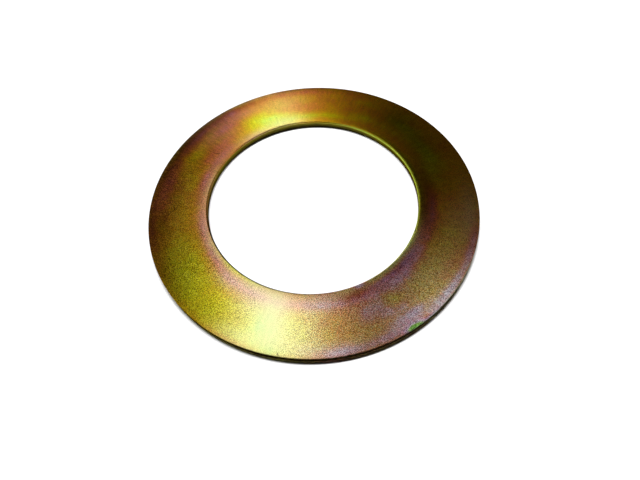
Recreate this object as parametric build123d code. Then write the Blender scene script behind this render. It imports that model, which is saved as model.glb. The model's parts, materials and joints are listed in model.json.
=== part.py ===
from build123d import *
import os

# Shim ring: one flat ring, pierced and blanked from steel sheet, then plated.
# It is threaded on a pin beside a boss and fills the end gap by its thickness.
# Millimetres, +Z up. The origin is the centre of the underside.

# Sizes a buyer orders the ring by
pin_diameter = 45.0
rim_diameter = 70.0
thickness = 1.5

# Fit of the bore on its pin, measured on the diameter
pin_clearance = 0.2

# Edges left by the press. The piercing punch enters from above, so the bore's top edge
# is drawn in round and its bottom edge carries the burr. The blank is then pushed down
# through its die, so on the rim the round edge is below and the burr edge is above.
# Tumbling before plating takes each burr down to a small break.
bore_roll_radius = 0.32
bore_break_radius = 0.08
rim_roll_radius = 0.28
rim_break_radius = 0.10

# Radii of the two punched walls
bore_radius = (pin_diameter + pin_clearance) / 2
rim_radius = rim_diameter / 2
band_width = rim_radius - bore_radius

# Section of the band, standing on the XZ plane with the ring's axis at X = 0
with BuildSketch(Plane.XZ) as section:
    with Locations((bore_radius, 0)):
        Rectangle(band_width, thickness, align=(Align.MIN, Align.MIN))
    fillet(section.vertices().sort_by_distance((bore_radius, thickness))[0], bore_roll_radius)
    fillet(section.vertices().sort_by_distance((bore_radius, 0))[0], bore_break_radius)
    fillet(section.vertices().sort_by_distance((rim_radius, 0))[0], rim_roll_radius)
    fillet(section.vertices().sort_by_distance((rim_radius, thickness))[0], rim_break_radius)

# One full turn of the section about the pin's axis
with BuildPart() as shim_ring:
    revolve(section.sketch, axis=Axis.Z, revolution_arc=360)

os.makedirs("parts", exist_ok=True)
export_step(shim_ring.part, "parts/shim_ring.step")
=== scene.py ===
# %% [markdown]
# # A yellow-plated shim ring
# The part is one flat steel ring. The CAD model gives its size and place, and this script gives it its
# looks: a finely divided surface with the press marks, a plated finish worked out from the thickness of
# its film, and a small studio of soft lights. Lengths are in metres and the ring lies on the plane Z = 0.

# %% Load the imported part
import json
import math
import bpy
import numpy as np
from mathutils import Euler, Matrix, Vector


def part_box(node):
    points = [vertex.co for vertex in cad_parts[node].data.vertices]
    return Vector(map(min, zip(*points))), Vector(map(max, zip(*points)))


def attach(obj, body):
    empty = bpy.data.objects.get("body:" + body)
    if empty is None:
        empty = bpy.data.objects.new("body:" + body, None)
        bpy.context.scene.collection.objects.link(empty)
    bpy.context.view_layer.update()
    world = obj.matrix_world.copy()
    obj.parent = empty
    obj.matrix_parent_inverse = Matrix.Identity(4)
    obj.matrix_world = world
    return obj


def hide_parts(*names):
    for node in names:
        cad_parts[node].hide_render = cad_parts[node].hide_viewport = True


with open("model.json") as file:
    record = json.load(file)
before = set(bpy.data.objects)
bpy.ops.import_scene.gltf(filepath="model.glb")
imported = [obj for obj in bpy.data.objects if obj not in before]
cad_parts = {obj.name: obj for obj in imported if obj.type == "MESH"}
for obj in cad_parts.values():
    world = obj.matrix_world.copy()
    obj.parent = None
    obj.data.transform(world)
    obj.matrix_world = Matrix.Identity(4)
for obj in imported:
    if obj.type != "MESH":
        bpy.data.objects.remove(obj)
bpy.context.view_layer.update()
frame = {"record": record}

# %% [markdown]
# The ring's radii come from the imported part: the rim from its box and the bore from the mount that the
# record states. Only the small press marks are set here, because they are finish rather than fit.

# %% Sizes of the ring
MM = 0.001
low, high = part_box("shim_ring")
mounts = {mount["name"]: mount for mount in frame["record"]["mounts"]}
rim_radius = high[0]
bore_radius = mounts["bore"]["dims"]["r_mm"] * MM
thickness = high[2] - low[2]
print("rim", rim_radius, "bore", bore_radius, "thickness", thickness)

bore_roll = 0.32 * MM       # top edge of the bore, drawn in by the punch
bore_break = 0.08 * MM      # bottom edge of the bore, the burr side
rim_roll = 0.28 * MM        # bottom edge of the rim, drawn in by the die
rim_break = 0.10 * MM       # top edge of the rim, the burr side

# %% [markdown]
# A punched ring is a section carried once round an axis. The section is walked in one direction, so that
# every face made from it looks outwards: up the bore wall, out over the top, down the rim and back below.
# Points crowd towards the corners, where the light turns fastest.

# %% The section of the band
WALL_STEPS, FACE_STEPS, UNDERSIDE_STEPS = 10, 46, 30
ROLL_POINTS, RIM_BREAK_POINTS, BORE_BREAK_POINTS = 9, 6, 5


def corner(centre_r, centre_z, radius, start, stop, count):
    """Points on a quarter circle: centre + radius * (cos a, sin a), a going evenly from start to stop."""
    a = np.radians(np.linspace(start, stop, count))
    return np.stack([centre_r + radius * np.cos(a), centre_z + radius * np.sin(a)], 1)


def straight(a, b, steps):
    """Points from a to b without the ends. Their spacing follows a half cosine, finest at both ends."""
    s = 0.5 - 0.5 * np.cos(np.pi * np.arange(1, steps) / steps)
    return np.asarray(a) + s[:, None] * (np.asarray(b) - np.asarray(a))


top, r0, r1 = thickness, bore_radius, rim_radius
stretches = {
    "bore wall": straight((r0, bore_break), (r0, top - bore_roll), WALL_STEPS),
    "bore roll": corner(r0 + bore_roll, top - bore_roll, bore_roll, 180, 90, ROLL_POINTS),
    "upper face": straight((r0 + bore_roll, top), (r1 - rim_break, top), FACE_STEPS),
    "rim break": corner(r1 - rim_break, top - rim_break, rim_break, 90, 0, RIM_BREAK_POINTS),
    "rim wall": straight((r1, top - rim_break), (r1, rim_roll), WALL_STEPS),
    "rim roll": corner(r1 - rim_roll, rim_roll, rim_roll, 0, -90, ROLL_POINTS),
    "underside": straight((r1 - rim_roll, 0), (r0 + bore_break, 0), UNDERSIDE_STEPS),
    "bore break": corner(r0 + bore_break, bore_break, bore_break, -90, -180, BORE_BREAK_POINTS),
}
section = np.concatenate(list(stretches.values()))
stretch_of = np.repeat(list(stretches), [len(points) for points in stretches.values()])
section_r, section_z = section[:, 0], section[:, 1]


def on(*names):
    """True for each point of the section that lies on one of these stretches."""
    return np.isin(stretch_of, names)


print("section points:", len(section), {name: len(points) for name, points in stretches.items()})

# %% [markdown]
# Shearing leaves two zones on a punched wall. Next to the rolled edge the metal is smooth and vertical,
# the land. Further on it has torn, and the torn zone stands back a few hundredths of a millimetre. The
# faces are not perfectly flat either: sheet keeps a faint wave from the coil. Sums of sine waves that go
# a whole number of times round the ring give all of this and close up without a seam.

# %% Waves that close on themselves round the ring
TURNS = 720                                              # sections round the ring, one every half degree
angle = np.arange(TURNS) * 2 * np.pi / TURNS
random = np.random.default_rng(7)                        # always the same draws, so always the same ring


def ring_waves(counts, across_rate, size):
    """For each angle a and section point j: sum of sin(n*a + p + q*j) over the whole numbers n in counts,
    scaled to the given root mean square size. p is a random phase and q a random rate."""
    n = np.asarray(counts, float)
    phase = random.uniform(0, 2 * np.pi, len(n))
    rate = random.uniform(-across_rate, across_rate, len(n))
    j = np.arange(len(section))
    terms = np.sin(n[:, None, None] * angle[None, :, None] + phase[:, None, None]
                   + rate[:, None, None] * j[None, None, :])
    return terms.sum(0) * size * math.sqrt(2 / len(n))


def smooth(low_end, high_end, x):
    """Smooth step: 0 below low_end, 1 above high_end, and 3t^2 - 2t^3 at the share t of the way between."""
    t = np.clip((x - low_end) / (high_end - low_end), 0, 1)
    return t * t * (3 - 2 * t)


# %% The land and the torn zone of the sheared walls
LAND_SHARE, LAND_WANDER, TEAR_BLUR = 0.5, 0.05, 0.06     # shares of the wall's height
SCORE_SIZE = 0.6                                         # how uneven the fine upright scores are

bore_side, rim_side = on("bore wall", "bore break"), on("rim wall", "rim break")
wall_share = (bore_side | rim_side) * 1.0
# the burr edges turn from face into wall
wall_share[on("bore break")] = np.linspace(0, 1, BORE_BREAK_POINTS)
wall_share[on("rim break")] = np.linspace(0, 1, RIM_BREAK_POINTS)
# how far down the bore, or up the rim, from its rolled edge (0) to its burr (1)
from_roll = np.where(bore_side, 1 - section_z / top, section_z / top)
tear_line = LAND_SHARE + ring_waves(range(5, 60), 0.0, LAND_WANDER)
torn = smooth(-TEAR_BLUR, TEAR_BLUR, from_roll[None, :] - tear_line) * wall_share[None, :]
scored = np.abs(ring_waves(range(60, 340, 2), 0.02, SCORE_SIZE)) * wall_share[None, :]
print("torn share of the walls:", round(float(torn[:, on("rim wall")].mean()), 2))

# %% [markdown]
# The surface is the section carried round: point (a, j) lies at radius r_j, height z_j and angle a. The
# punch drew the face down a little before it sheared the bore, so the face leans there by a few
# hundredths of a millimetre. These marks only ever take metal away, so the ring stays inside the size the
# CAD gives it.

# %% Carry the section round the axis
TORN_DEPTH, SCORE_DEPTH = 0.030 * MM, 0.006 * MM
COIL_DIP, DEEPEST_DIP = 0.012, 0.03                      # mean and greatest dip of the faces, in mm
BORE_LEAN, BORE_LEAN_REACH = 0.045 * MM, 0.42 * MM

into_metal = bore_side * 1.0 - rim_side * 1.0            # outwards on the bore's side, inwards on the rim's
recess = TORN_DEPTH * torn + SCORE_DEPTH * scored
radius = section_r[None, :] + into_metal[None, :] * recess
face_up = on("bore roll", "upper face", "rim break") * smooth(0.5 * top, top, section_z)
face_down = on("rim roll", "underside", "bore break") * smooth(0.5 * top, 0, section_z)
coil_wave = ring_waves((2, 3, 5), 0.01, 0.004) + ring_waves(range(9, 34), 0.16, 0.0016)
dip = np.clip(COIL_DIP + coil_wave, 0, DEEPEST_DIP) * MM
lean = BORE_LEAN * np.exp(-(section_r - r0) / BORE_LEAN_REACH) * face_up
height = section_z[None, :] + dip * (face_down - face_up)[None, :] - lean[None, :]
points = np.stack([radius * np.cos(angle)[:, None], radius * np.sin(angle)[:, None], height], -1)
print("surface grid:", points.shape, "deepest recess in mm:", round(float(recess.max() / MM), 3))

# %% Turn the grid into a mesh
def closed_grid(name, grid):
    """A mesh from a grid of points that closes both ways: face (i, j) joins points (i, j), (i, j+1),
    (i+1, j+1) and (i+1, j), where the last row and column wrap to the first."""
    rows, columns = grid.shape[:2]
    i, j = np.meshgrid(np.arange(rows), np.arange(columns), indexing="ij")
    i2, j2 = (i + 1) % rows, (j + 1) % columns
    corners = np.stack([i * columns + j, i * columns + j2, i2 * columns + j2, i2 * columns + j], -1)
    corners = corners.reshape(-1, 4)
    mesh = bpy.data.meshes.new(name)
    mesh.vertices.add(rows * columns)
    mesh.vertices.foreach_set("co", grid.reshape(-1).astype(np.float32))
    mesh.loops.add(corners.size)
    mesh.loops.foreach_set("vertex_index", corners.reshape(-1).astype(np.int32))
    mesh.polygons.add(len(corners))
    mesh.polygons.foreach_set("loop_start", np.arange(0, corners.size, 4, dtype=np.int32))
    mesh.polygons.foreach_set("use_smooth", np.ones(len(corners), bool))
    mesh.update(calc_edges=True)
    mesh.validate()
    return mesh


ring = bpy.data.objects.new("plated_ring", closed_grid("plated_ring", points))
bpy.context.scene.collection.objects.link(ring)
print("ring:", len(ring.data.vertices), "points,", len(ring.data.polygons), "faces")

# %% [markdown]
# Zinc plate is dipped in a chromate bath that grows a thin clear film. Light bounces from the top and the
# bottom of that film, and the tint that survives depends on its thickness: lemon where it is thin, then
# gold, orange, rose, violet and green as it grows. Bath liquid drains and clings as the ring hangs on its
# hook, so the thickness changes in soft patches that follow the band. Each patch below is a rounded hill
# or hollow: its place round the ring in degrees, its place across the band from bore (0) to rim (1), its
# two spreads and its strength. The first table says how thick the film is, from lemon hollows to rose and
# violet hills.

# %% Patches of film
FILM_START = 0.75
film_patches = (
    # right
    (347, 0.21, 12, 0.10, 0.42), (353, 0.22, 8, 0.10, 0.16), (8, 0.28, 9, 0.12, -0.20),
    (14, 0.42, 9, 0.18, -0.32), (20, 0.00, 48, 0.08, -0.60), (22, 0.48, 11, 0.18, -0.58),
    # far right
    (40, 0.55, 9, 0.16, -0.45), (42, 0.30, 7, 0.07, -0.20), (44, 0.81, 8, 0.12, -0.32),
    (57, 0.32, 8, 0.09, -0.35), (60, 0.70, 6, 0.07, -0.20), (74, 0.20, 15, 0.08, -0.45),
    # far
    (86, 0.45, 9, 0.14, 0.18), (88, 0.17, 8, 0.07, -0.28), (90, 0.87, 20, 0.08, 0.34),
    (100, 0.62, 10, 0.20, -0.24), (105, 0.31, 8, 0.07, -0.30), (106, 0.16, 16, 0.17, -0.95),
    (113, 0.42, 9, 0.16, -0.72),
    # far left
    (119, 0.30, 9, 0.16, -0.22), (124, 0.85, 8, 0.20, 0.50), (124, 0.97, 14, 0.05, -0.36),
    (131, 0.58, 7, 0.17, 0.55), (135, 0.45, 6, 0.08, -0.27), (137, 0.86, 7, 0.08, 0.34),
    (139, 0.33, 8, 0.15, 0.38),
    # left
    (150, 0.14, 12, 0.09, 0.45), (150, 0.32, 6, 0.08, 0.28), (150, 0.84, 14, 0.12, 0.42),
    (151, 0.98, 9, 0.05, -0.30), (152, 0.58, 6, 0.12, -0.28), (164, 0.70, 6, 0.06, 0.18),
    (165, 0.40, 6, 0.12, -0.15), (166, 0.16, 9, 0.09, 0.54), (172, 0.82, 12, 0.14, 0.36),
    (186, 0.48, 10, 0.16, -0.16), (187, 0.93, 12, 0.07, 0.34), (188, 0.06, 12, 0.07, 0.26),
    (196, 0.12, 16, 0.07, 0.38),
    # near left
    (203, 0.52, 9, 0.22, -0.36), (211, 0.38, 8, 0.10, -0.24), (214, 0.12, 7, 0.05, 0.28),
    (219, 0.70, 15, 0.30, -0.66), (220, 0.15, 12, 0.07, 0.42), (226, 0.21, 7, 0.05, 0.30),
    (226, 0.45, 7, 0.20, 0.15), (228, 0.00, 17, 0.09, -0.70), (236, 0.47, 11, 0.15, -0.34),
    (236, 0.86, 9, 0.26, -0.40), (238, 0.20, 9, 0.07, 0.30), (240, 0.20, 7, 0.05, 0.24),
    (240, 0.98, 7, 0.05, 0.32),
    # near
    # The first patch also paints the whitened yellow-green of the near highlight into the film's tint.
    (250, 0.64, 9, 0.44, -1.10), (254, 0.21, 7, 0.06, 0.20), (254, 0.93, 8, 0.10, -0.36),
    (264, 0.60, 7, 0.30, -0.45), (266, 0.20, 10, 0.08, 0.58), (271, 0.50, 7, 0.60, 0.24),
    (272, 0.05, 7, 0.08, 0.25), (275, 0.92, 9, 0.08, 0.36), (275, 0.97, 8, 0.07, 0.55),
    # near right
    (283, 0.40, 7, 0.16, 0.16), (284, 0.24, 13, 0.13, 0.44), (286, 0.30, 6, 0.07, -0.20),
    (288, 0.50, 8, 0.26, 0.34), (289, 0.02, 3.0, 0.05, 1.20), (289, 0.95, 8, 0.08, 0.55),
    (290, 0.66, 8, 0.20, 0.10), (292, 0.42, 12, 0.10, 0.10), (296, 0.88, 9, 0.11, 0.55),
    (298, 0.47, 3.5, 0.10, -0.40), (298, 0.985, 3.2, 0.045, 1.35), (299, 0.56, 13, 0.22, 0.18),
    (299, 0.86, 15, 0.12, 0.10), (300, 0.13, 7, 0.05, 0.30), (300, 0.62, 10, 0.14, 0.22),
    (301, 0.80, 6, 0.06, 0.55), (305, 0.32, 7, 0.10, 0.22), (305, 1.00, 5.5, 0.03, 0.95),
    (307, 0.50, 6, 0.14, -0.15), (308, 0.40, 12, 0.16, 0.22), (312, 0.18, 17, 0.10, 0.60),
    (314, 0.94, 13, 0.08, 0.62), (315, 0.93, 8, 0.06, 0.35), (316, 0.12, 20, 0.05, 0.45),
    (320, 0.26, 26, 0.10, 0.42), (321, 0.72, 10, 0.12, 0.26), (322, 0.00, 22, 0.05, -0.80),
    (328, 0.58, 12, 0.15, -0.20), (329, 0.31, 7, 0.06, -0.30), (332, 0.97, 10, 0.06, 0.50),
    (333, 0.90, 9, 0.06, 0.45),
)

# %% [markdown]
# The next tables are laid in the same way. They say how far the colour turns pale, partly from the pale
# zinc under the film and partly as a painted highlight where the bright stripe crosses the bands; where
# the colour is darkened by painted shade or lightened by painted light; where the acid dip before it left
# the zinc frosted, so that its grain shows; and where the liquid drained off in fine streaks across the
# band. A hollow in the shade table is a patch of painted light.

# %% Patches of pale zinc and painted highlight, painted shade and light, frost and streaks
# Partly pale zinc, partly painted highlight: the patches at 101, 251 and 253 degrees whiten the stripe.
pale_zinc_and_highlight_patches = (
    # right
    (345, 0.60, 10, 0.20, 0.07), (347, 0.86, 13, 0.15, 0.18),
    # far
    (101, 0.55, 12, 0.50, 0.15), (104, 0.08, 12, 0.16, 0.28),
    # far left
    (120, 0.70, 8, 0.14, 0.10), (122, 0.03, 9, 0.10, 0.26), (128, 0.98, 30, 0.05, 0.22),
    (134, 0.60, 10, 0.40, 0.12),
    # left
    (150, 0.10, 18, 0.12, 0.14), (166, 0.03, 10, 0.08, 0.14), (195, 0.06, 22, 0.10, 0.26),
    # near left
    (211, 0.08, 9, 0.10, 0.14), (226, 0.22, 8, 0.14, 0.14), (232, 0.14, 13, 0.14, 0.24),
    (240, 0.24, 8, 0.34, 0.28), (241, 0.90, 8, 0.18, 0.14),
    # near
    (251, 0.25, 9, 0.40, 0.42), (253, 0.80, 11, 0.40, 0.42), (262, 0.18, 12, 0.14, 0.16),
    (266, 0.50, 6, 0.50, 0.12), (272, 0.92, 14, 0.13, 0.20), (273, 0.10, 12, 0.14, 0.14),
    # near right
    (286, 0.96, 10, 0.08, 0.02), (288, 0.24, 8, 0.12, -0.14), (299, 0.62, 12, 0.26, -0.09),
    (299, 0.96, 4, 0.07, -0.40), (300, 0.45, 34, 0.70, 0.11), (306, 0.20, 12, 0.12, -0.24),
    (311, 0.94, 10, 0.11, 0.16), (312, 0.04, 26, 0.10, 0.16), (324, 0.66, 18, 0.20, 0.05),
    (327, 0.98, 9, 0.10, 0.14), (331, 0.10, 14, 0.08, 0.08),
)
# Painted shade and light: hills darken the colour where the face lies in shade, hollows lighten it.
shade_and_light_patches = (
    # right
    (343, 0.18, 15, 0.15, 0.34), (346, 0.06, 12, 0.10, 0.30), (4, 0.16, 14, 0.14, 0.40),
    (6, 0.44, 12, 0.22, 0.28), (20, 0.02, 30, 0.07, 0.62), (20, 0.22, 20, 0.16, 0.15),
    (26, 0.50, 12, 0.26, 0.44),
    # far right
    (44, 0.66, 9, 0.28, 0.34), (46, 0.45, 14, 0.34, 0.22),
    # far
    (84, 0.97, 24, 0.06, 0.30), (90, 0.02, 14, 0.06, -0.50), (100, 1.00, 24, 0.05, 0.35),
    (110, 0.90, 26, 0.09, 0.18),
    # far left
    (128, 0.90, 12, 0.20, 0.16),
    # left
    (150, 0.82, 12, 0.14, 0.34), (150, 0.97, 26, 0.13, 0.55), (152, 0.44, 8, 0.12, 0.20),
    (165, 0.60, 12, 0.30, 0.12), (166, 0.78, 9, 0.20, 0.24), (173, 0.52, 15, 0.24, 0.30),
    (186, 0.76, 9, 0.14, 0.20), (186, 0.95, 14, 0.08, 0.26), (196, 0.82, 20, 0.30, 0.34),
    (197, 0.32, 9, 0.16, 0.16),
    # near left
    (211, 0.92, 9, 0.10, 0.22), (226, 0.36, 8, 0.26, -0.34), (241, 0.92, 8, 0.20, -0.30),
    # near
    (270, 0.28, 7, 0.10, -0.26), (270, 0.50, 9, 0.60, -0.22), (272, 0.88, 12, 0.20, -0.26),
    # near right
    (286, 0.15, 8, 0.08, 0.42), (286, 0.16, 8, 0.08, 0.16), (300, 0.78, 9, 0.12, -0.40),
    (304, 0.70, 16, 0.34, -0.22), (310, 0.13, 12, 0.07, 0.52), (313, 0.92, 10, 0.09, -0.90),
    (322, 0.02, 14, 0.06, -0.60),
)
FROST_START = 0.25
frost_patches = (
    # left
    (168, 0.60, 16, 0.45, 0.70),
    # near left
    (205, 0.55, 34, 0.60, 0.85),
    # near
    (251, 0.55, 9, 0.60, -0.55),
    # near right
    (298, 0.45, 34, 0.80, 1.80),
)
STREAK_START = 0.2
streak_patches = (
    # far right
    (60, 0.60, 50, 0.60, 0.35),
    # left
    (158, 0.60, 26, 0.60, 1.30),
    # near right
    (298, 0.92, 10, 0.12, 0.80), (318, 0.95, 16, 0.16, 1.60),
)

# %% [markdown]
# A table becomes a field by adding up its hills and hollows at every point of the ring at once. Nobody
# sees the underside of a ring that lies flat, yet it hung in the same bath, so it gets the same patches,
# the painted shade, light and highlight among them, turned to another place, mirrored across the band,
# wider and weaker.

# %% Lay the patches over the ring
UNDER_TURN, UNDER_SPREAD, UNDER_STRENGTH = 200, 1.3, 0.7
below = on("rim roll", "underside", "bore break")


def turn_from(at):
    """The turn in degrees from this place to each angle of the ring, wrapped to half a turn each way."""
    return (np.degrees(angle) - at + 180) % 360 - 180


def patches(table, start):
    """start + sum over the table of strength * exp(-(turn/spread)^2 - (step/spread)^2), turn being the angle
    from the patch's centre and step the distance across the band."""
    across = np.clip((section_r - bore_radius) / (rim_radius - bore_radius), 0, 1)
    total = np.full((TURNS, len(section)), float(start))
    for at, side, spread, side_spread, strength in table:
        along = np.exp(-(turn_from(at) / spread) ** 2)
        total += strength * along[:, None] * np.exp(-((across - side) / side_spread) ** 2)
    return total


def underneath(table):
    """The patches as they fall on the underside: turned, mirrored across the band, wider and weaker."""
    return [((UNDER_TURN - at) % 360, 1 - side,
             spread * UNDER_SPREAD, side_spread, strength * UNDER_STRENGTH)
            for at, side, spread, side_spread, strength in table]


laid = {
    "film": (film_patches, FILM_START),
    "pale": (pale_zinc_and_highlight_patches, 0.0),
    "dull": (shade_and_light_patches, 0.0),
    "frost": (frost_patches, FROST_START),
    "streaky": (streak_patches, STREAK_START),
}
fields = {name: np.where(below, patches(underneath(table), start), patches(table, start))
          for name, (table, start) in laid.items()}
fields["torn"] = torn
for name, values in fields.items():
    print(name, "from", round(float(values.min()), 2), "to", round(float(values.max()), 2))

# %% [markdown]
# The edges are where a real ring is told from a drawn one. The sheared walls took a thick film: olive in
# the bore, umber on the rim, both darkened as painted shade, and the rim wall goes black as a painted
# shadow on the near right. The rolled edge of the bore carries a painted yellow-green highlight on the
# right and painted shade on the near left, so its tint goes by the angle, and the sharp edge of the rim
# carries a painted highlight on the near right.

# %% The tints of the edges
# The wall tints are darkened as painted shade, the near-black is painted shade and shadow, leaf and straw
# are painted highlights.
olive, umber, shade_black = (0.15, 0.13, 0.012), (0.045, 0.026, 0.006), (0.018, 0.020, 0.004)
leaf, straw = (0.66, 0.80, 0.10), (0.80, 0.88, 0.62)


def round_the_ring(*hills):
    """For each angle: the sum over the hills of strength * exp(-(turn/spread)^2), kept between 0 and 1."""
    total = np.zeros(TURNS)
    for at, spread, strength in hills:
        total += strength * np.exp(-(turn_from(at) / spread) ** 2)
    return np.clip(total, 0, 1)[:, None, None]


def mixed(first, second, share):
    """first * (1 - share) + second * share, for colours."""
    return np.asarray(first) * (1 - share) + np.asarray(second) * share


# Painted highlights on the bore's roll and the rim's edge, painted shade on the bore's near left, painted
# shadow on the rim wall's near right.
bore_painted_highlight = round_the_ring((5, 32, 0.8), (50, 34, 1.0), (325, 22, 0.6))
bore_painted_shade = round_the_ring((225, 45, 1.0), (190, 20, 0.3), (280, 18, 0.4))
rim_painted_highlight = round_the_ring((312, 22, 0.95), (335, 12, 0.4))
rim_painted_shadow = round_the_ring((300, 45, 0.9), (340, 30, 0.4))
bore_wall_tint = mixed(olive, mixed(umber, shade_black, 0.5), bore_painted_shade)
rim_wall_tint = mixed(umber, shade_black, rim_painted_shadow)
bore_roll_tint = mixed(bore_wall_tint, leaf, bore_painted_highlight)
rim_break_tint = mixed(rim_wall_tint, straw, rim_painted_highlight)
edge_tint = np.where(on("bore wall", "bore break")[None, :, None], bore_wall_tint, rim_wall_tint)
edge_tint = np.where(on("bore roll")[None, :, None], bore_roll_tint, edge_tint)
edge_tint = np.where(on("rim break")[None, :, None], rim_break_tint, edge_tint)
print("bright share of the bore's edge:", round(float(bore_painted_highlight.mean()), 2))

# %% [markdown]
# How much of the edge's tint shows at each point is a field of its own. On a wall all of it shows. Over a
# rounded edge it comes in with the depth below the face: early where the edge carries painted highlight
# and painted shade, and late where the face simply runs out over it. Then every field is stored on the
# mesh, point by point, because the finish reads it there.

# %% Where the edge's tint shows, and storing the fields
# 0 at the top of the bore's roll or of the rim's break, 1 where the wall begins
down_roll = np.clip((top - section_z) / bore_roll, 0, 1)[None, :, None]
down_break = np.clip((top - section_z) / rim_break, 0, 1)[None, :, None]
roll_early = smooth(0.0, 0.15, down_roll) * np.maximum(bore_painted_highlight, bore_painted_shade)
roll_share = np.maximum(smooth(0.45, 0.95, down_roll), roll_early)
break_early = smooth(0.0, 0.2, down_break) * rim_painted_highlight
break_share = np.maximum(smooth(0.4, 0.9, down_break), break_early)
wall = np.where(on("bore roll")[None, :, None], roll_share, wall_share[None, :, None])
wall = np.where(on("rim break")[None, :, None], break_share, wall)
fields["wall"] = wall[:, :, 0]

for name, values in fields.items():
    stored = ring.data.attributes.new(name, "FLOAT", "POINT")
    stored.data.foreach_set("value", values.reshape(-1).astype(np.float32))
edge_colours = np.concatenate([edge_tint, np.ones((TURNS, len(section), 1))], -1)
stored = ring.data.attributes.new("edge_tint", "FLOAT_COLOR", "POINT")
stored.data.foreach_set("color", edge_colours.reshape(-1).astype(np.float32))
print("fields:", [*fields, "edge_tint"])

# %% [markdown]
# A finish is built as a sum. The class below lets an ordinary expression such as `1 - mask * 0.5` add the
# Math nodes that work it out, so that the finish can be read like a formula. Every other node comes from
# add_node.

# %% Sockets that can be added and multiplied
class Signal:
    """One output socket of a material. Arithmetic on it adds Math nodes to the same material."""

    def __init__(self, socket):
        self.socket = socket
        self.tree = socket.node.id_data

    def maths(self, operation, left, right):
        return add_node(self.tree, "ShaderNodeMath", {"operation": operation}, {0: left, 1: right})

    def __add__(self, other):
        return self.maths("ADD", self, other)

    def __sub__(self, other):
        return self.maths("SUBTRACT", self, other)

    def __rsub__(self, other):
        return self.maths("SUBTRACT", other, self)

    def __mul__(self, other):
        return self.maths("MULTIPLY", self, other)

    __radd__ = __add__
    __rmul__ = __mul__


def add_node(tree, kind, settings=None, inputs=None, output=0):
    """Adds a node: its settings first, then a value or a Signal for each input, and returns one output."""
    node = tree.nodes.new(kind)
    for name, value in (settings or {}).items():
        if name == "stops":
            set_stops(node.color_ramp, value)
        else:
            setattr(node, name, value)
    for name, value in (inputs or {}).items():
        if isinstance(value, Signal):
            tree.links.new(value.socket, node.inputs[name])
        else:
            node.inputs[name].default_value = value
    return Signal(node.outputs[output])


def set_stops(ramp, stops):
    """Gives a colour ramp these (position, colour) stops."""
    while len(ramp.elements) < len(stops):
        ramp.elements.new(1.0)
    for element, (position, colour) in zip(ramp.elements, stops):
        element.position = position
        element.color = (*colour, 1.0)


def mix_colours(tree, share, first, second, blend_type="MIX"):
    """A Mix node on colours: share 0 gives the first and 1 the second. Its colour inputs are 6 and 7."""
    settings = {"data_type": "RGBA", "blend_type": blend_type, "clamp_factor": True}
    return add_node(tree, "ShaderNodeMix", settings, {0: share, 6: first, 7: second}, output=2)


def vector_maths(tree, operation, inputs, output=0):
    """A Vector Math node. Output 0 is its vector and output 1 its number, such as a distance."""
    return add_node(tree, "ShaderNodeVectorMath", {"operation": operation}, inputs, output)


def noise(tree, place, cells, detail):
    """Soft noise round 0.5, with this many cells for each unit of place."""
    return add_node(tree, "ShaderNodeTexNoise", {"noise_dimensions": "3D"},
                    {"Vector": place, "Scale": cells, "Detail": detail, "Roughness": 0.5})


def stored_field(tree, name):
    """The number that the mesh stores under this name."""
    return add_node(tree, "ShaderNodeAttribute", {"attribute_name": name}, output=2)


helpers = (add_node, set_stops, mix_colours, vector_maths, noise, stored_field)
print("helpers:", [helper.__name__ for helper in helpers])

# %% [markdown]
# Handling leaves a few marks that can be counted: two scratches that cross on the left, and nicks close
# to the rim. Each is a hairline between two places on the face. The distance from any point to that line
# says whether the point is inside the scratch. Streaks are finer than can be counted, so they are noise,
# sampled by direction from the ring's axis: a point and the one further out beyond it then share nearly
# the same value, and the noise draws out into lines across the band.

# %% Scratches and streaks
hairlines = (
    # angle and place across the band at each end, then the width in metres
    (183.4, 0.67, 179.4, 0.51, 0.00011),
    (181.0, 0.56, 178.6, 0.60, 0.00008),
    (162.0, 0.90, 158.0, 0.84, 0.00009),
    (146.0, 0.30, 144.5, 0.22, 0.00009),
    (256.0, 0.955, 256.3, 0.985, 0.00012),
    (318.0, 0.86, 318.6, 0.95, 0.00009),
)
STREAKS = 42.0               # streaks for each unit of direction, so about forty in every radian
STREAK_DRIFT = 9.0           # how much of the place joins the direction, so that a streak changes on its way


def point_at(degrees, across):
    """The point of the upper face at this angle and this far across the band."""
    reach = bore_radius + across * (rim_radius - bore_radius)
    turn = math.radians(degrees)
    return Vector((reach * math.cos(turn), reach * math.sin(turn), thickness))


def hairline(tree, place, start, stop, width):
    """1 on the line from start to stop and 0 beyond its width. The distance to the line is the length of
    what is left of (place - start) after the part of it that runs along the line, kept between its ends."""
    run = stop - start
    away = vector_maths(tree, "SUBTRACT", {0: place, 1: start})
    share = vector_maths(tree, "DOT_PRODUCT", {0: away, 1: run / run.length_squared}, output=1)
    share = add_node(tree, "ShaderNodeClamp", {}, {0: share})
    nearest = vector_maths(tree, "SCALE", {0: run, 3: share})
    gap = vector_maths(tree, "DISTANCE", {0: away, 1: nearest}, output=1)
    return add_node(tree, "ShaderNodeMapRange", {"interpolation_type": "SMOOTHSTEP"},
                    {0: gap, 1: width * 1.5, 2: width * 0.5, 3: 0.0, 4: 1.0})


def drained_streaks(tree, place):
    """Noise of (direction from the axis) + STREAK_DRIFT * place, with the height left out of both."""
    flat = vector_maths(tree, "MULTIPLY", {0: place, 1: (1.0, 1.0, 0.0)})
    outward = vector_maths(tree, "NORMALIZE", {0: flat})
    drift = vector_maths(tree, "SCALE", {0: flat, 3: STREAK_DRIFT})
    return noise(tree, vector_maths(tree, "ADD", {0: outward, 1: drift}), STREAKS, 2.0)


print("fine marks:", len(hairlines))
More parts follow.
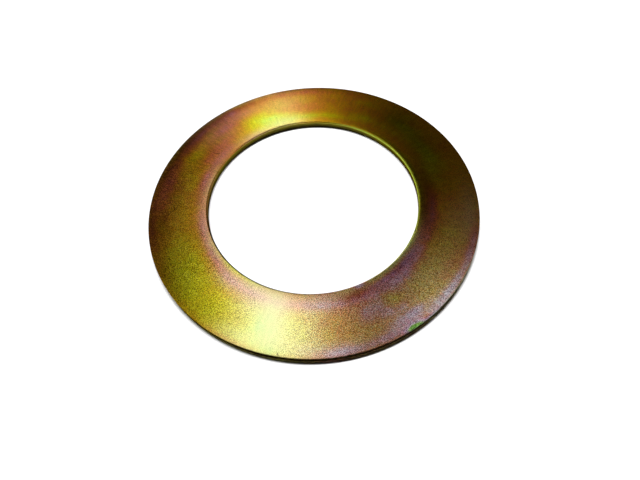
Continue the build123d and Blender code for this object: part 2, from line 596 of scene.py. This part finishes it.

# %% [markdown]
# The finish is one metal. Its colour is the tint of the film, blotched by clouds a few millimetres wide
# and a finer mottle, and broken by a grain as fine as the zinc crystals. Where the bath left almost no
# film the pale zinc shows through, and in the bright stripe the same pale colour is a painted highlight.
# Painted shade and light darken or lighten the colour in patches. The sheared walls took a thick brown
# film, darkened further as painted shade. Measures along the film are counted in steps of the tint table,
# in which 0 is lemon and 1 is orange.

# %% The finish
film_tints = (
    # The lime stop also paints the whitened yellow-green of the near highlight.
    (-0.60, (0.64, 0.99, 0.14)),         # lime, where there is almost no film
    (-0.30, (0.84, 0.96, 0.040)),
    (0.00, (0.93, 0.84, 0.010)),         # lemon
    (0.25, (0.94, 0.69, 0.008)),
    (0.50, (0.94, 0.52, 0.010)),         # gold
    (0.75, (0.93, 0.39, 0.015)),
    (1.00, (0.92, 0.275, 0.035)),        # orange
    (1.25, (0.93, 0.22, 0.085)),
    (1.60, (0.94, 0.30, 0.34)),          # rose
    (1.90, (0.92, 0.45, 0.68)),          # violet
    (2.30, (0.26, 0.74, 0.10)),          # green, the thickest
)
CLOUDS, MOTTLE, GRAIN, SPARKLE = 230, 900, 8200, 7300      # cells in a metre
CLOUD_FILM, MOTTLE_FILM = 0.70, 0.30                       # how far clouds and mottle shift the film
# the pale colour is pale zinc and also the painted highlight in the bright stripe
PALE_ZINC_AND_HIGHLIGHT, TORN_STEEL = (0.93, 0.96, 0.80, 1.0), (0.03, 0.022, 0.008, 1.0)
PALE_SPECKLE = 0.22                                        # how far the grain lets pale zinc through
BRIGHTNESS, SPECKLE = 0.80, 6.6                            # the face's mean level and the grain's swing
SCRATCH_DEPTH = 0.6                                        # how much a scratch darkens
GRAIN_RELIEF = 0.000006                                    # height of the grain in metres
FACE_ROUGHNESS, WALL_ROUGHER = 0.28, 0.2
GLANCING_TINT = (0.30, 0.24, 0.14, 1.0)                    # the metal's tint at a glancing angle


def film_tint(tree, film):
    """The tint for this thickness of film: the table above, as a ramp from its first row to its last."""
    thinnest, thickest = film_tints[0][0], film_tints[-1][0]
    stops = [((step - thinnest) / (thickest - thinnest), tint) for step, tint in film_tints]
    return add_node(tree, "ShaderNodeValToRGB", {"stops": stops},
                    {0: (film - thinnest) * (1 / (thickest - thinnest))})


def yellow_zinc():
    """Plated finish: the film's tint mixed with pale zinc and painted highlight, times the level that
    painted shade and light, grain, streaks and scratches leave, then the edge's tint, with its painted
    highlights and shade, over it. The grain also tilts the surface."""
    material = bpy.data.materials.new("yellow_zinc_plate")
    material.use_nodes = True
    tree = material.node_tree
    shader = tree.nodes["Principled BSDF"]
    place = add_node(tree, "ShaderNodeTexCoord", output=3)
    clouds, mottle = noise(tree, place, CLOUDS, 3.0), noise(tree, place, MOTTLE, 2.0)
    grain, sparkle = noise(tree, place, GRAIN, 1.0), noise(tree, place, SPARKLE, 0.0)
    film = stored_field(tree, "film") + (clouds - 0.5) * CLOUD_FILM + (mottle - 0.5) * MOTTLE_FILM
    speckle = (grain - 0.5) * stored_field(tree, "frost")
    pale = stored_field(tree, "pale") + speckle * PALE_SPECKLE
    # pale zinc, and painted highlight where the bright stripe crosses the bands
    colour = mix_colours(tree, pale, film_tint(tree, film), PALE_ZINC_AND_HIGHLIGHT)

    scratches = sum(hairline(tree, place, point_at(at, across), point_at(end_at, end_across), width)
                    for at, across, end_at, end_across, width in hairlines)
    streaks = 1 + (drained_streaks(tree, place) - 0.5) * stored_field(tree, "streaky")
    # painted shade and light: darkens or lightens the colour in patches
    shade_and_light_level = 1 - stored_field(tree, "dull") * (0.75 + mottle * 0.5)
    light = shade_and_light_level * (BRIGHTNESS + speckle * SPECKLE) * streaks * (1 - scratches * SCRATCH_DEPTH)
    light = add_node(tree, "ShaderNodeCombineColor", {"mode": "RGB"}, {0: light, 1: light, 2: light})
    colour = mix_colours(tree, 1.0, colour, light, "MULTIPLY")

    wall = stored_field(tree, "wall")
    edge = add_node(tree, "ShaderNodeAttribute", {"attribute_name": "edge_tint"}, output=0)
    edge = mix_colours(tree, stored_field(tree, "torn") * (0.3 + mottle * 0.6), edge, TORN_STEEL)
    colour = mix_colours(tree, wall, colour, edge)
    relief = add_node(tree, "ShaderNodeBump", {},
                      {"Strength": 1.0, "Distance": GRAIN_RELIEF, "Height": grain + sparkle * 0.7})

    shader.inputs["Metallic"].default_value = 1.0
    shader.inputs["Specular Tint"].default_value = GLANCING_TINT
    tree.links.new(colour.socket, shader.inputs["Base Color"])
    tree.links.new((FACE_ROUGHNESS + wall * WALL_ROUGHER).socket, shader.inputs["Roughness"])
    tree.links.new(relief.socket, shader.inputs["Normal"])
    print("finish:", material.name, "with", len(tree.nodes), "nodes")
    return material


ring.data.materials.append(yellow_zinc())
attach(ring, "root")
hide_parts("shim_ring")

# %% [markdown]
# The ring lies on a plain pale table. The table is a matt sheet two metres and more across, so that its
# edge stays out of the main picture, and it lies a hair below the ring so that the two never share a
# plane.

# %% The table
TABLE_HALF, TABLE_DROP = 1.2, 0.00001
square = ((-1, -1), (1, -1), (1, 1), (-1, 1))
table_corners = [(x * TABLE_HALF, y * TABLE_HALF, -TABLE_DROP) for x, y in square]
table_mesh = bpy.data.meshes.new("table_top")
table_mesh.from_pydata(table_corners, [], [(0, 1, 2, 3)])
floor = bpy.data.objects.new("table_top", table_mesh)
bpy.context.scene.collection.objects.link(floor)
table_paint = bpy.data.materials.new("pale_table")
table_paint.use_nodes = True
matt = table_paint.node_tree.nodes["Principled BSDF"].inputs
matt["Base Color"].default_value = (0.9, 0.9, 0.9, 1.0)
matt["Roughness"].default_value = 0.9
matt["Specular IOR Level"].default_value = 0.0
floor.data.materials.append(table_paint)
print("table:", 2 * TABLE_HALF, "m across")

# %% [markdown]
# Plated metal shows the lights it mirrors. Seen from in front and above, the upper face mirrors what
# hangs over and beyond the ring. Three small softboxes there draw one bright stripe across both bands, a
# fourth puts a glint in the right side, and the rest of that side stays deep and dark. Five larger ones
# hang where this view mirrors none of them, so they light the ring for someone who walks round it and
# hardly change the main picture. Each light is placed by its slope: how far it lies to the right and
# beyond for each metre that it hangs above the ring.
#
# A metal ring wants dark surroundings and a pale table wants a flood of light. Light linking gives both:
# the ring's softboxes reach the ring alone, and the table has one of its own, in whose light the ring
# throws a narrow shadow.

# %% Soft lights
HANG = 1.0
ring_lights = (
    # name, slope, width and length in metres, strength
    ("near_softbox", (-0.107, 0.324), 0.22, 0.12, 0.106),
    ("stripe_softbox", (-0.187, 0.543), 0.03, 0.40, 0.070),
    ("far_softbox", (-0.091, 1.05), 0.145, 0.05, 0.056),
    ("right_softbox", (0.335, 0.31), 0.03, 0.03, 0.050),
    ("front_right_softbox", (0.95, -0.80), 0.40, 0.40, 0.10),
    ("front_left_softbox", (-0.92, -0.56), 0.22, 0.40, 0.10),
    ("left_softbox", (-1.70, 0.20), 0.50, 0.60, 0.10),
    ("right_side_softbox", (1.70, -0.10), 0.50, 0.60, 0.08),
    ("front_softbox", (0.20, -1.60), 0.60, 0.50, 0.08),
)


def group_of(name, thing):
    """A collection with one object in it, to say what a light may reach."""
    group = bpy.data.collections.new(name)
    group.objects.link(thing)
    return group


def softbox(name, slope, width, length, strength, receivers):
    """An area light at (slope * HANG, HANG) that faces the ring. strength is the light it drops on the face,
    in watts per square metre, so its power is strength * pi * distance^2 * distance / HANG."""
    lamp = bpy.data.lights.new(name, "AREA")
    lamp.shape = "RECTANGLE"
    lamp.size, lamp.size_y = width, length
    place = Vector((slope[0] * HANG, slope[1] * HANG, HANG))
    lamp.energy = strength * math.pi * place.length_squared * place.length / HANG
    holder = bpy.data.objects.new(name, lamp)
    holder.location = place
    holder.rotation_euler = (-place).to_track_quat("-Z", "Y").to_euler()
    holder.light_linking.receiver_collection = receivers
    bpy.context.scene.collection.objects.link(holder)
    print(name, "power", round(lamp.energy, 3), "W")


ring_only, table_only = group_of("ring_only", ring), group_of("table_only", floor)
for ring_light in ring_lights:
    softbox(*ring_light, ring_only)
softbox("table_softbox", (-0.06, 0.39), 0.62, 0.12, 4.4, table_only)

# %% [markdown]
# The room itself is almost black. The little light it gives keeps the darkest edges from going dead.

# %% The room
world = bpy.data.worlds.new("dim_room")
world.use_nodes = True
room = world.node_tree.nodes["Background"].inputs
room["Color"].default_value = (1.0, 1.0, 1.0, 1.0)
room["Strength"].default_value = 0.006
bpy.context.scene.world = world
bpy.context.scene.view_settings.view_transform = "Standard"
print("room light:", round(room["Strength"].default_value, 4))

# %% [markdown]
# The camera is close: about one and a third ring widths away, which is why the near band looks so much
# wider than the far one. It stands in front, looks down steeply and is tipped a few degrees.

# %% Camera
CAMERA_BACK, CAMERA_UP = 1.6271, 2.1421                    # rim radii from the axis and over the upper face
CAMERA_TURNS = (31.467, 1.973, -4.229)                     # degrees about X, then Y, then Z
SENSOR, LENS = 36.0, 24.54                                 # millimetres
NEAREST = 0.005                                            # metres from the lens

camera_data = bpy.data.cameras.new("close_camera")
camera_data.sensor_width = SENSOR
camera_data.lens = LENS
camera_data.clip_start = NEAREST
camera = bpy.data.objects.new("close_camera", camera_data)
stand = Vector((0.0, -CAMERA_BACK * rim_radius, CAMERA_UP * rim_radius + thickness))
aim = Euler([math.radians(degrees) for degrees in CAMERA_TURNS])
camera.matrix_world = Matrix.LocRotScale(stand, aim, None)
bpy.context.scene.collection.objects.link(camera)
bpy.context.scene.camera = camera
print("camera", [round(math.degrees(x), 2) for x in camera.rotation_euler], "at", tuple(camera.location))
